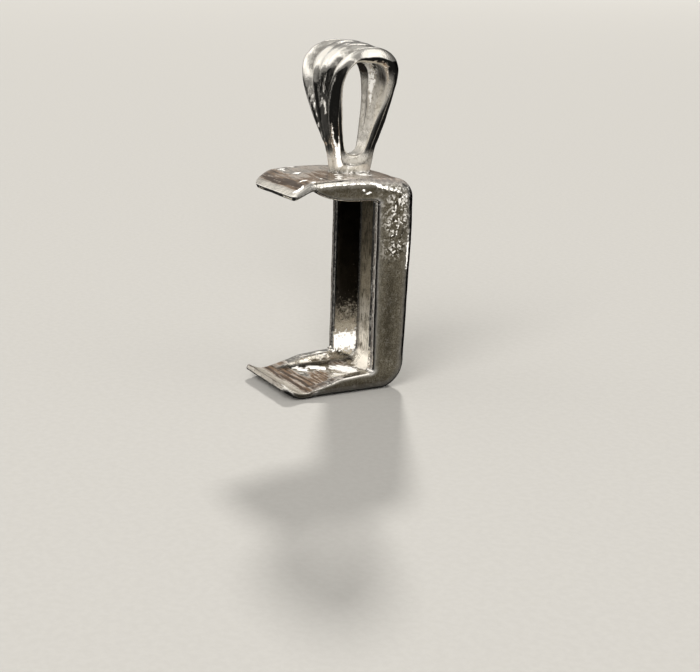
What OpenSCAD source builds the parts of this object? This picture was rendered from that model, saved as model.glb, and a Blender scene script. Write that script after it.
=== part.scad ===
// Open pendant setting: a bent channel that grips a stone at both ends, with a fluted bail.
// Millimetres. It stands on its bottom arm: +Z up, -Y the open front, X the width.

/* [General] */
// which node to draw

/* [Channel] */
// width across the two side faces
width = 6.2; // [4:0.1:12]
// front to back, over the lips and the back
depth = 9.0; // [6:0.1:16]
// length of the back's straight run, between its two corners
back_run = 10.585; // [5:0.005:30]
// how far the back's outer face leans outwards on its way up, in degrees
back_lean = 1.9; // [0:0.1:4]
// outer radius of the bottom back corner
heel_r = 1.75; // [1:0.05:3]
// outer radius of the top back corner
shoulder_r = 1.2; // [1:0.05:3]
// thickness of the channel's floor along the arms
floor_t = 0.5; // [0.3:0.05:1.2]
// thickness of the back at its heel
heel_t = 0.65; // [0.3:0.05:1.5]
// thickness of the back at its shoulder
shoulder_t = 1.0; // [0.3:0.05:1.5]
// thickness of each rail
rail_t = 0.82; // [0.4:0.02:1.6]
// how far the rails stand forward of the back's outer face
rail_reach = 2.83; // [1:0.01:4]
// rounding along the outer edges
edge_r = 0.28; // [0.1:0.02:0.45]

/* [Arms and lips] */
// upward slope of the top arm where it leaves the corner, in degrees
arm_rise = 5; // [0:0.5:10]
// straight length of the top arm behind its bow
arm_flat = 1.0; // [0:0.1:3]
// radius of the top arm's bow
bow_r = 32; // [20:1:80]
// turn of the bow between the corner and the lip, in degrees
bow_turn = 9; // [4:0.5:14]
// outer radius of the bend between arm and lip
lip_bend_r = 1.5; // [0.6:0.1:3]
// turn of the bottom lip, in degrees
bottom_lip_turn = 30; // [15:1:60]
// turn of the top lip, in degrees
top_lip_turn = 27; // [15:1:60]
// straight length of the bottom lip in front of its bend
bottom_lip_len = 0.75; // [0.2:0.02:2]
// straight length of the top lip in front of its bend
top_lip_len = 1.15; // [0.2:0.02:2]
// rounding of the lips' corners, seen from above
lip_corner_r = 0.55; // [0.2:0.05:1.5]
// thickness of the lips at their noses
lip_t = 0.38; // [0.2:0.02:1]
// height of the rails' edge over the bottom arm at the back
rail_edge_h = 1.25; // [0.8:0.05:3]

/* [Bail] */
// distance of the bail's middle from the back's outer face
bail_at = 3.25; // [1.5:0.02:5]
// height of the eye's lowest point above the top arm
eye_low = 1.1; // [0.5:0.05:3]
// height of the eye
eye_h = 6.0; // [3:0.1:12]
// widest half-width of the eye, front to back
eye_half = 1.5; // [0.8:0.05:3]
// thickness of the bail's wall
bail_t = 0.76; // [0.4:0.02:1.6]
// how much thicker the wall is halfway up, as a share
wall_swell = 0.22; // [0:0.02:0.4]
// half-width of the solder foot, front to back
foot_reach = 1.14; // [0.8:0.02:3]
// half-width across the bail just above the foot
stem_half = 0.68; // [0.4:0.02:2]
// extra half-width of the solder at the foot
solder_flare = 0.12; // [0:0.05:1]
// half-width across the bail at the crown
crown_half = 2.85; // [1:0.05:5]
// where the two grooves run, as a share of the half-width
groove_at = 0.52; // [0.3:0.02:0.7]
// how far the middle lobe stands above the ribs, as a share of the wall
middle_rise = 0.22; // [0:0.02:0.4]
// swell of the -X side in its upper half, as a share of the wall
left_swell = 0.6; // [0:0.05:0.8]
// depth of the grooves, as a share of the wall
groove_depth = 0.34; // [0.1:0.02:0.5]

/* [Hidden] */
$fn = 48;
silver = [0.78, 0.77, 0.73];

heel_at = heel_r * cos(back_lean) + back_run * sin(back_lean) + shoulder_r * (1 - cos(back_lean));
arm_run = depth - heel_at - lip_bend_r * sin(bottom_lip_turn)
    - bottom_lip_len * cos(bottom_lip_turn);

// A path is walked along the outer face, clockwise in the side view, from the bottom lip's tip
// to the top lip's. Each step is [straight length, 0, 0] or [0, outer radius, turn].
steps = [
    [bottom_lip_len, 0, 0],
    [0, lip_bend_r, bottom_lip_turn],
    [arm_run, 0, 0],
    [0, heel_r, 90 - back_lean],
    [back_run, 0, 0],
    [0, shoulder_r, 90 + back_lean - arm_rise],
    [arm_flat, 0, 0],
    [0, bow_r, bow_turn],
    [0, lip_bend_r, top_lip_turn],
    [top_lip_len, 0, 0]
];

// places are [distance forward of the back, height, heading]
function left_of(h) = [cos(h + 90), sin(h + 90)];
function ahead(p, step) =
    step[2] == 0
        ? [p[0] + step[0] * cos(p[2]), p[1] + step[0] * sin(p[2]), p[2]]
        : let (c = centre(p, step), h = p[2] - step[2])
            [c[0] + step[1] * left_of(h)[0], c[1] + step[1] * left_of(h)[1], h];
function centre(p, step) = [p[0], p[1]] - step[1] * left_of(p[2]);
function walk(p, i) = i == 0 ? p : ahead(walk(p, i - 1), steps[i - 1]);

tip_turn = 180 + bottom_lip_turn;
tip_drop = lip_bend_r * (1 - cos(bottom_lip_turn)) + bottom_lip_len * sin(bottom_lip_turn);
start = [depth, tip_drop, tip_turn];
places = [for (i = [0:len(steps)]) walk(start, i)];
arm_top = places[7][1] + bow_r * (1 - cos(arm_rise));

// points along the path for the steps from a to b, set in by depths given where each step starts
function inset_path(a, b, insets) = [
    for (i = [a:b])
        let (n = steps[i][2] == 0 ? 1 : max(3, round(steps[i][2] / 7)))
            for (k = [i == a ? 0 : 1:n])
                let (part = [steps[i][0] * k / n, steps[i][1], steps[i][2] * k / n],
                     q = k == 0 ? places[i] : ahead(places[i], part),
                     inset = insets[i - a] + (insets[i - a + 1] - insets[i - a]) * k / n)
                    [q[0], q[1]] - inset * left_of(q[2])
];

// a smooth line through the points p, n parts between neighbours
function smooth(p, n) = [
    for (i = [0:len(p) - 2])
        for (k = [0:n - 1])
            let (a = p[max(i - 1, 0)], b = p[i], c = p[i + 1], d = p[min(i + 2, len(p) - 1)], t = k / n)
                (2 * b + (c - a) * t + (2 * a - 5 * b + 4 * c - d) * t * t
                    + (3 * b - a - 3 * c + d) * t * t * t) / 2,
    p[len(p) - 1]
];

// Puts a shape drawn with x forward, y up and z across into the part's frame.
module stand() {
    translate([0, depth / 2, 0]) mirror([0, 1, 0]) rotate([90, 0, 90]) children();
}

// edge of the rails over the bottom arm, from the neck to the back, and over the top arm
low_edge = smooth([
    [places[2][0] - 0.25, floor_t],
    [places[2][0] - 0.75, floor_t + 0.14],
    [places[2][0] - 1.7, rail_edge_h - 0.38],
    [rail_reach + 2.1, rail_edge_h - 0.14],
    [rail_reach, rail_edge_h]
], 4);
high_edge = smooth([
    [rail_reach, arm_top - rail_edge_h - 0.25],
    [rail_reach + 2.1, arm_top - rail_edge_h - 0.13],
    [rail_reach + 3.2, arm_top - rail_edge_h + 0.03],
    [rail_reach + 3.95, arm_top - rail_edge_h + 0.35],
    [rail_reach + 4.5, arm_top - floor_t - 0.03]
], 4);

// the half-round nose of a lip that ends at place p, walked on in direction h
function nose(p, h) = [
    for (a = [75:-30:-75])
        [p[0], p[1]] - lip_t / 2 * left_of(p[2]) + lip_t / 2 * [cos(h + a), sin(h + a)]
];

module side_outline() {
    top_tip = places[len(steps)];
    polygon(concat(
        inset_path(0, len(steps) - 1, [for (i = [0:len(steps)]) 0]),
        nose(top_tip, top_tip[2]),
        [[places[9][0], places[9][1]] - floor_t * left_of(places[9][2])],
        [for (i = [len(high_edge) - 1:-1:0]) high_edge[i]],
        [for (i = [len(low_edge) - 1:-1:0]) low_edge[i]],
        [[places[1][0], places[1][1]] - floor_t * left_of(places[1][2])],
        nose(places[0], places[0][2] - 180)
    ));
}

// what the channel leaves open between its rails
module pocket_outline() {
    floor_line = inset_path(2, 7, [floor_t, floor_t, heel_t, shoulder_t, floor_t, floor_t, floor_t]);
    polygon([for (i = [0:len(floor_line) - 1])
        [min(floor_line[i][0], low_edge[0][0] - 0.06), floor_line[i][1]]]);
}

// Square outline w by h with its corners rounded: the first two by r, the other two by s.
module rounded(w, h, r, s) {
    difference() {
        translate([-w / 2, 0]) square([w, h]);
        for (side = [-1, 1]) {
            translate([side * w / 2, 0]) corner_cut(-side, 1, r);
            translate([side * w / 2, h]) corner_cut(-side, -1, s);
        }
    }
}

// the sliver outside a rounded corner that opens towards x and y
module corner_cut(x, y, r) {
    scale([x, y]) difference() {
        translate([-1, -1]) square(r + 1);
        translate([r, r]) circle(r);
    }
}

module frame() {
    intersection() {
        difference() {
            stand() linear_extrude(width, center = true) side_outline();
            stand() linear_extrude(width - 2 * rail_t, center = true) pocket_outline();
        }
        translate([0, -depth / 2, -1]) linear_extrude(arm_top + 2)
            rounded(width, depth, lip_corner_r, edge_r);
        translate([0, depth, 0]) rotate([90, 0, 0]) linear_extrude(2 * depth)
            rounded(width, arm_top, edge_r, edge_r);
    }
}

// The bail is a closed ring of cross-sections. Each runs from the eye (share 0 of the wall) to
// the outside (share 1), and across from -1 to 1. Places are [from the middle, height].
eye_z = arm_top + eye_low;
foot_z = arm_top - 0.4;

// half the eye's outline from its foot to its crown, as shares of eye_half and eye_h
eye_keys = [
    [0, 0], [0.2, 0.008], [0.35, 0.033], [0.44, 0.067], [0.5, 0.108], [0.55, 0.158], [0.62, 0.242],
    [0.75, 0.392], [0.88, 0.558], [0.97, 0.692], [1, 0.775], [0.94, 0.868], [0.71, 0.945],
    [0.38, 0.988], [0, 1]
];
eye_half_line = [for (k = eye_keys) [k[0] * eye_half, eye_z + k[1] * eye_h]];
last = len(eye_keys) - 1;
foot_keys = 4;

function unit(v) = v / norm(v);
function eye_normal(k) =
    let (d = unit(eye_half_line[min(k + 1, last)] - eye_half_line[max(k - 1, 0)]))
        k == last ? [0, 1] : [d[1], -d[0]];
function wall_at(up) = bail_t * (1 + wall_swell * sin(min(up / 0.8, 1) * 180));
outer_half_line = [
    for (k = [0:last])
        k < foot_keys
            ? [foot_reach * k / (foot_keys - 1), foot_z]
            : eye_half_line[k] + wall_at(eye_keys[k][1]) * eye_normal(k)
];

// the whole ring: up one side and, mirrored, down the other
function both_sides(p) = concat(p, [for (i = [len(p) - 2:-1:1]) [-p[i][0], p[i][1]]]);
eye_ring = both_sides(smooth(eye_half_line, 2));
outer_ring = both_sides(smooth(outer_half_line, 2));

function half_across(z) =
    let (up = (z - eye_z) / eye_h, share = min(max(up, 0), 1))
        stem_half + (crown_half - stem_half) * share * (0.52 + 0.48 * share)
            + solder_flare * pow(max(0, (eye_z - z) / (eye_z - foot_z)), 2);

// share of the wall at which the outside lies: a wide middle lobe between two round ribs
function lobes(a) =
    let (rib_mid = (1 + groove_at) / 2, rib_half = (1 - groove_at) / 2)
        max(1 + middle_rise - (groove_depth + middle_rise) * pow(abs(a) / groove_at, 4),
            1 - groove_depth * pow((abs(a) - rib_mid) / rib_half, 2));

across_steps = [0, 0.12, 0.24, 0.34, 0.43, 0.49, 0.52, 0.56, 0.64, 0.74, 0.84, 0.92, 0.97, 1];
eye_steps = [0, 0.3, 0.6, 0.82, 0.94, 1];
function signed(p) = concat([for (i = [len(p) - 1:-1:1]) -p[i]], p);
section = concat(
    [for (a = signed(across_steps)) [a, lobes(a)]],
    [for (a = signed(eye_steps)) [-a, 0.3 * pow(abs(a), 6)]]
);

module bail() {
    n = len(eye_ring);
    m = len(section);
    points = [
        for (i = [0:n - 1])
            for (q = section)
                let (up = min(max((outer_ring[i][1] - eye_z) / eye_h, 0), 1),
                     share = q[1] * (1 + left_swell * max(0, -q[0]) * sin(156 * up * up)),
                     p = eye_ring[i] + (outer_ring[i] - eye_ring[i]) * share,
                     z = max(p[1], foot_z))
                    [q[0] * half_across(z), p[0], z]
    ];
    faces = [
        for (i = [0:n - 1])
            for (j = [0:m - 1])
                let (i2 = (i + 1) % n, j2 = (j + 1) % m)
                    each [[i * m + j, i2 * m + j2, i2 * m + j], [i * m + j, i * m + j2, i2 * m + j2]]
    ];
    translate([0, depth / 2 - bail_at, 0])
        polyhedron(points, faces, convexity = 6);
}

module setting() {
    color(silver) {
        frame();
        bail();
    }
}

setting();
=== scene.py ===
# Open silver pendant setting: a channel bent into a C, lips turned in at both ends, a fluted bail.
# Lengths in the dictionaries are millimetres; the finished mesh is scaled to metres.
# A place in side view is [u, z]: z is up, and u runs forward from a line 0.5 mm in front of the back's
# outermost line. Across the setting is x, and the frame's y is the channel's middle less u.

import math
from types import SimpleNamespace
import bpy
import numpy as np
from mathutils import Matrix


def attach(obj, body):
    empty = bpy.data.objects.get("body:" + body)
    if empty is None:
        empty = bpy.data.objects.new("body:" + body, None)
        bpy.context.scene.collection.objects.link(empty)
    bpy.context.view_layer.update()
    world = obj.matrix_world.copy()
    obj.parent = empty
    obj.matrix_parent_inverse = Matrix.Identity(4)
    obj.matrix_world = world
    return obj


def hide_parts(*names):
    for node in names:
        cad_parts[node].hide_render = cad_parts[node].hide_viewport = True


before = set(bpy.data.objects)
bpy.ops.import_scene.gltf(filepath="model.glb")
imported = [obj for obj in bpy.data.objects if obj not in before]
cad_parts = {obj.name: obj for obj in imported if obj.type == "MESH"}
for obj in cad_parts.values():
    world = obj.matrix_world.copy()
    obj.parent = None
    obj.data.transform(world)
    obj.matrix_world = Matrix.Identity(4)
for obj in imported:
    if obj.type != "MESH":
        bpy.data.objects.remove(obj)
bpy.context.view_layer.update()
print("frame loaded:", ", ".join(sorted(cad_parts)))


def throughKeys(keys, at, closed=False):
    # smooth line through the keys at running numbers: a cubic between two keys, whose slope
    # at each key is half the step between that key's two neighbours
    keys, count = np.asarray(keys, float), len(keys)
    first = np.floor(at).astype(int)
    first = first % count if closed else np.clip(first, 0, count - 2)
    t = (at - np.floor(at) if closed else at - first)[:, None]
    wrap = (lambda i: i % count) if closed else (lambda i: np.clip(i, 0, count - 1))
    a, b, c, d = (keys[wrap(first + k)] for k in (-1, 0, 1, 2))
    return (2 * b + (c - a) * t + (2 * a - 5 * b + 4 * c - d) * t ** 2
            + (3 * b - a - 3 * c + d) * t ** 3) / 2


def ease(x, low, high):
    # 0 below low, 1 above high, and a smooth S between
    t = np.clip((x - low) / (high - low), 0, 1)
    return t * t * (3 - 2 * t)


def fade(x, low, high):
    # the other way round: 1 below low and 0 above high
    return 1 - ease(x, low, high)


channel = {
    "width": 6.2,
    "front": 8.5,  # u of the bottom lip's tip
    "middle": 4.0,  # u of the frame's y = 0
    "runs": [  # from the bottom lip's tip: length of a straight, or outer radius and turn in degrees
        (0.75, 0, 0), (0, 1.5, 30), (5.5, 0, 0), (0, 1.75, 88.1), (10.585, 0, 0),
        (0, 1.2, 86.9), (1.0, 0, 0), (0, 32, 9), (0, 1.5, 27), (1.15, 0, 0)],
    "tipRise": 0.576,  # height of the bottom lip's tip
    "tipHeading": 210,  # way of the first run, in degrees turned up from straight forward
    "lip": 0.38,
    "floor": 0.5,
    "thickening": (0.1, 1.6),  # from a tip: the lip's thickness grows to the floor's between these
    "backMore": (0.15, 0.5),  # how much thicker the back is at its heel and at its shoulder
    "rail": 0.82,
    "reach": 2.33,  # u of the rails' front along the back
    "lowEdge": [(6.85, 0.5), (6.35, 0.64), (5.4, 0.87), (4.43, 1.11), (2.33, 1.25)],
    "highEdge": [(2.33, 12.215), (4.43, 12.335), (5.53, 12.495), (6.28, 12.815), (6.83, 13.185)],
    "notchRound": 0.14,  # in the two inner corners of the rails
    "neckRise": 0.35,  # rails lower than this lean over on their inner side
    "neckLean": 0.14,
    "outerRound": 0.3,  # along the far outer edges
    "nearRound": 0.5,  # along the near ones, worn rounder
    "bendRound": (0.25, 1.0, 2.0),  # more in the top bend: radius, middle past its start, half-length
    "railOuterRound": 0.24,
    "railInnerRound": 0.12,
    "roundGrowth": 1.25,  # outer edges round with the floor's thickness, up to this many times
    "roundShares": (0.72, 0.26),  # most of the side's height for the outer edge and for the rail's
    "fillet": 0.14,
    "tipRound": 0.1,
    "tipShort": 0.05,  # the line that closes a tip ends this short of both sides
    "cornerRound": {"bottomNear": 0.75, "bottomFar": 0.35, "topNear": 0.4, "topFar": 1.1},
    "stations": 0.095,  # spacing of the cross-sections
    "tipStretch": (0.7, 19),  # they crowd together at each tip: over this length, this many
}


def walkedRuns(runs, place, heading):
    # where each run starts: length so far, place and heading, a straight going on ahead
    # and an arc turning clockwise about a centre to the right of the way
    rows, sofar = [], 0.0
    for length, radius, turn in runs:
        turn = math.radians(turn)
        rows.append((sofar, place[0], place[1], heading, radius))
        if radius:
            centre = place - radius * leftOf(heading)
            heading -= turn
            place = centre + radius * leftOf(heading)
            sofar += radius * turn
        else:
            place = place + length * np.array([math.cos(heading), math.sin(heading)])
            sofar += length
    return np.array(rows), sofar


def leftOf(heading):
    return np.stack([-np.sin(heading), np.cos(heading)], axis=-1)


pathRows, pathLength = walkedRuns(
    channel["runs"], np.array([channel["front"], channel["tipRise"]]), math.radians(channel["tipHeading"]))
heelStart, backStart, shoulderStart, topStart = pathRows[3:7, 0]  # lengths at which these runs start


def outerLine(s):
    # place on the channel's outer face and the way inwards, at lengths s from the bottom tip
    row = pathRows[np.clip(np.searchsorted(pathRows[:, 0], s, side="right") - 1, 0, len(pathRows) - 1)]
    ahead, radius, heading = s - row[:, 0], row[:, 4], row[:, 3]
    bent = radius > 0
    safe = np.where(bent, radius, 1)
    turned = heading - np.where(bent, ahead / safe, 0)
    straight = row[:, 1:3] + ahead[:, None] * np.stack([np.cos(heading), np.sin(heading)], -1)
    arc = row[:, 1:3] + safe[:, None] * (leftOf(turned) - leftOf(heading))
    return np.where(bent[:, None], arc, straight), -leftOf(turned)


def railMarks():
    # lengths along the outer face where the rails' edge beside it changes: at the low neck, at the
    # two ends of the low inner corner and of the high one, and at the high neck
    reach, r = channel["reach"], channel["notchRound"]
    lowEdge, highEdge = channel["lowEdge"], channel["highEdge"]
    dense = np.linspace(0, pathLength, 20000)
    outer = outerLine(dense)[0]
    low, top = dense < backStart, dense > shoulderStart
    back = (dense > heelStart) & (dense < topStart)

    def nearest(run, axis, value):
        return dense[run][np.argmin(abs(outer[run, axis] - value))]

    return (nearest(low, 0, lowEdge[0][0]), nearest(low, 0, reach + r),
            nearest(back, 1, lowEdge[-1][1] + r), nearest(back, 1, highEdge[0][1] - r),
            nearest(top, 0, reach + r), nearest(top, 0, highEdge[-1][0]))


def matchedRailLine(s, marks):
    # the rails' edge beside each outer place: straight above or below it along the arms, straight
    # in front of it along the back, and round a small fillet while the outer face turns the corner
    reach, r = channel["reach"], channel["notchRound"]
    neckLow, turnLow, backLow, backHigh, turnHigh, neckHigh = marks
    low = throughKeys(channel["lowEdge"], np.linspace(0, 4, 200))
    high = throughKeys(channel["highEdge"], np.linspace(0, 4, 200))
    lowZ, highZ = channel["lowEdge"][-1][1], channel["highEdge"][0][1]
    place = outerLine(s)[0]
    u, z = place.T
    lowTurn = math.pi / 2 * np.clip((s - turnLow) / (backLow - turnLow), 0, 1)
    highTurn = math.pi / 2 * np.clip((s - backHigh) / (turnHigh - backHigh), 0, 1)
    lowArm = np.stack([u, np.interp(-u, -low[:, 0], low[:, 1])], -1)
    highArm = np.stack([u, np.interp(u, high[:, 0], high[:, 1])], -1)
    lowFillet = np.stack([reach + r - r * np.sin(lowTurn), lowZ + r - r * np.cos(lowTurn)], -1)
    highFillet = np.stack([reach + r - r * np.cos(highTurn), highZ - r + r * np.sin(highTurn)], -1)
    upright = np.stack([np.full_like(u, reach), z], -1)
    choice = np.searchsorted(marks, s)
    line = np.choose(choice[:, None], [place, lowArm, lowFillet, upright, highFillet, highArm, place])
    return line, (s > neckLow) & (s < neckHigh)


def stationsAlong(marks):
    # lengths of the cross-sections: even between the marks, and crowded towards both tips
    stretch, count = channel["tipStretch"]
    tips = stretch * (1 - np.cos(np.linspace(0, math.pi / 2, count)))
    stops = [stretch, *marks, pathLength - stretch]
    middle = [np.linspace(a, b, max(3, round((b - a) / channel["stations"])), endpoint=False)
              for a, b in zip(stops, stops[1:])]
    return np.concatenate([tips[:-1], *middle, pathLength - tips[::-1]])


def channelSurface():
    # A cross-section carried along the bent path: outer face, rounded edge, side, rail edge,
    # inner side, fillet and floor, then the same mirrored. Depth r is measured in from the outer
    # face: along the normal within the floor's thickness, and on from there to the rails' edge.
    c = channel
    marks = railMarks()
    s = stationsAlong(marks)
    outer, inward = outerLine(s)
    railLine, railed = matchedRailLine(s, marks)
    fromTip = np.minimum(s, pathLength - s)
    bottom = s < pathLength / 2
    thick = c["lip"] + (c["floor"] - c["lip"]) * ease(fromTip, *c["thickening"])
    thick = thick + np.interp(s, (heelStart, backStart, shoulderStart, topStart), (0, *c["backMore"], 0))
    floorLine = outer + thick[:, None] * inward
    toRail = np.where(railed[:, None], railLine - floorLine, inward * 1e-6)  # just the way, if no rail
    rise = np.linalg.norm(toRail, axis=1)
    toRail = toRail / rise[:, None]
    rise = np.where(railed & ((toRail * inward).sum(1) > 0), rise, 0.0)

    def halfWidth(corner):  # the lips' corners, rounded as seen from above
        short = np.clip(corner - fromTip, 0, None)
        return c["width"] / 2 - corner + np.sqrt(np.maximum(corner ** 2 - short ** 2, 0))

    corners = c["cornerRound"]
    near = np.where(bottom, halfWidth(corners["bottomNear"]), halfWidth(corners["topNear"]))
    far = np.where(bottom, halfWidth(corners["bottomFar"]), halfWidth(corners["topFar"]))
    short = np.clip(c["tipRound"] - fromTip, 0, c["tipRound"])
    lowest = c["tipRound"] - np.sqrt(np.maximum(c["tipRound"] ** 2 - short ** 2, 0))
    floorR = thick - lowest
    topR = floorR + rise
    growth = np.minimum((floorR - lowest) / c["floor"], c["roundGrowth"])
    lean = c["neckLean"] * fade(rise, 0.0, c["neckRise"])
    outShare, edgeShare = c["roundShares"]

    def column(value):
        return np.broadcast_to(np.asarray(value, float), s.shape)[:, None]

    def arc(cx, cy, rx, ry, start, end, parts):
        a = np.radians(np.linspace(start, end, parts + 1)[1:])[None]
        return column(cx) + column(rx) * np.cos(a), column(cy) + column(ry) * np.sin(a)

    def line(x0, y0, x1, y1, parts):
        t = np.linspace(0, 1, parts + 1)[None, 1:]
        return column(x0) + (column(x1) - column(x0)) * t, column(y0) + (column(y1) - column(y0)) * t

    def halfSection(w, edge):  # x and depth r from the middle of the outer face to that of the floor
        outRound = np.minimum(edge * growth, outShare * (topR - lowest))
        edgeRound = np.minimum(c["railOuterRound"] * growth, edgeShare * (topR - lowest))
        inner, fillet = c["railInnerRound"], c["fillet"]
        innerUp, filletUp = np.minimum(inner, rise / 2), np.minimum(fillet, rise / 2)
        side = w - c["rail"] * w / (c["width"] / 2)  # inner side of the rail
        parts = [
            (column(0.0), column(lowest)),
            line(0, lowest, w - outRound, lowest, 20),
            arc(w - outRound, lowest + outRound, outRound, outRound, -90, 0, 7),
            line(w, lowest + outRound, w, topR - edgeRound, 15),
            arc(w - edgeRound, topR - edgeRound, edgeRound, edgeRound, 0, 90, 6),
            line(w - edgeRound, topR, side + inner, topR, 4),
            arc(side + inner, topR - innerUp, inner, innerUp, 90, 180, 5),
            line(side, topR - innerUp, side - lean, floorR + filletUp, 11),
            arc(side - lean - fillet, floorR + filletUp, fillet, filletUp, 0, -90, 5),
            line(side - lean - fillet, floorR, 0, floorR, 17)]
        return [np.concatenate([np.broadcast_to(p[k], (len(s), p[k].shape[1])) for p in parts], 1)
                for k in (0, 1)]

    more, past, reach = c["bendRound"]
    worn = c["nearRound"] + more * np.exp(-((s - shoulderStart - past) / reach) ** 2)
    nearX, nearR = halfSection(near, worn)
    farX, farR = halfSection(far, c["outerRound"])
    x = np.concatenate([nearX, -farX[:, -2:0:-1]], 1)
    r = np.concatenate([nearR, farR[:, -2:0:-1]], 1)
    within = np.minimum(r, thick[:, None])
    beyond = np.maximum(r - thick[:, None], 0)
    u = outer[:, :1] + inward[:, :1] * within + toRail[:, :1] * beyond
    z = outer[:, 1:] + inward[:, 1:] * within + toRail[:, 1:] * beyond
    grid = np.stack([x, u, z], -1)

    # each tip closes on a line across its middle, on which the two faces' points meet
    steps = x.shape[1]
    half = steps // 2
    number = np.arange(steps)
    side = np.where(number <= half, number, steps - number)
    share = np.minimum(side, half - side) / (half / 2)
    signedShare = np.where(number <= half, share, -share)
    caps = []
    for k in (0, -1):
        wide = np.where(signedShare > 0, near[k], far[k]) - c["tipShort"]
        middle = outer[k] + inward[k] * thick[k] / 2
        caps.append(np.stack([signedShare * wide, np.full(steps, middle[0]),
                              np.full(steps, middle[1])], -1))
    return np.concatenate([caps[0][None], grid, caps[1][None]])


bail = {
    "middle": 2.75,  # u of the bail's middle
    "eyeLow": 14.815,
    "eyeHigh": 6.0,
    "eyeHalf": 1.5,
    "eyeKeys": [  # half the eye's outline from foot to crown, as shares of its half-width and height
        (0, 0), (0.2, 0.008), (0.35, 0.033), (0.44, 0.067), (0.5, 0.108), (0.55, 0.158),
        (0.62, 0.242), (0.75, 0.392), (0.88, 0.558), (0.97, 0.692), (1, 0.775), (0.94, 0.868),
        (0.71, 0.945), (0.38, 0.988), (0, 1)],
    "wall": 0.76,
    "wallSwell": (0.22, 0.8),  # share by which it is thicker halfway up, and height share of its end
    "footZ": 13.315,
    "footReach": 1.14,
    "footHalf": (0.86, 1.22),  # half-sizes of the foot's outline on the arm, across and along
    "stemHalf": 0.68,
    "crownHalf": 2.85,
    "fan": 0.52,  # share of the widening that is straight, the rest being curved
    "solder": -0.12,  # the foot narrows a little where it meets the arm
    "nearGroove": [(0.65, 0.34), (0.9, 0.45), (1.0, 0.46), (1.1, 0.58)],  # height share, width share
    "farGroove": [(0.5, 0.36), (0.8, 0.4), (0.98, 0.58)],
    "grooveDeep": 0.6,
    "middleRise": 0.22,  # of the middle rib over the outer two
    "smallGrooves": [-0.05, 0.22],  # two shallow ones on the middle rib, fading out at the crown
    "smallDeep": 0.2,
    "smallHalf": 0.08,
    "smallFade": (0.75, 1.1),
    "innerRidges": [(-0.07, 0.34, 0.15), (0.52, 0.14, 0.12)],  # creases inside: share, height, half-width
    "creaseFrom": (0.3, 0.75),
    "crownBead": 0.42,  # thicker near edge over the crown and down the back
    "beadAcross": (0.45, 0.85),
    "beadFrom": (0.55, 0.95),
    "beadBack": (-1.1, -0.3),  # grows between these, measured back from the eye's middle line
    "farSwell": (0.6, 156),  # how far the far edge swells, and the turn of its sine at the crown
    "edgeRound": 0.14,  # the outer share of the half-width that is rounded off
    "edgeDeep": 0.48,  # where the two faces meet at an edge, as a share of the wall
    "curl": 0.2,  # how far the inner face curls outwards at the edges
    "around": 190,
    "halfTurn": 61,  # points across each face
}


def mirrored(keys):
    # a closed outline: half of it, and the same on the other side of the middle line
    return np.concatenate([keys, (keys * [-1, 1])[-2:0:-1]])


def bailHalf(rise):
    # half-width at a share of the eye's height: partly straight and partly with its square
    return (bail["stemHalf"] + (bail["crownHalf"] - bail["stemHalf"]) * rise
            * (bail["fan"] + (1 - bail["fan"]) * rise))


def eyeAndRim():
    # the eye's outline and the bail's own round it, matched at even steps along a line between
    b = bail
    keys = np.array(b["eyeKeys"])
    eye = keys * [b["eyeHalf"], b["eyeHigh"]] + [0, b["eyeLow"]]
    last = len(eye) - 1
    index = np.arange(last + 1)
    step = eye[np.minimum(index + 1, last)] - eye[np.maximum(index - 1, 0)]
    step /= np.linalg.norm(step, axis=1, keepdims=True)
    normal = np.stack([step[:, 1], -step[:, 0]], -1)
    normal[last] = (0, 1)
    swell, end = b["wallSwell"]
    wall = b["wall"] * (1 + swell * np.sin(math.pi * keys[:, 1:].clip(0, end) / end))
    rim = eye + wall * normal
    rim[:4] = [(b["footReach"] * k / 3, b["footZ"]) for k in range(4)]  # the flat foot
    eyeKeys, rimKeys = mirrored(eye), mirrored(rim)
    dense = np.linspace(0, len(eyeKeys), 4000)
    track = throughKeys(rimKeys, dense, True) * 0.6 + throughKeys(eyeKeys, dense, True) * 0.4
    length = np.concatenate([[0], np.cumsum(np.linalg.norm(np.diff(track, axis=0), axis=1))])
    at = np.interp(np.linspace(0, length[-1], b["around"], endpoint=False), length, dense)
    return throughKeys(eyeKeys, at, True), throughKeys(rimKeys, at, True)


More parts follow.
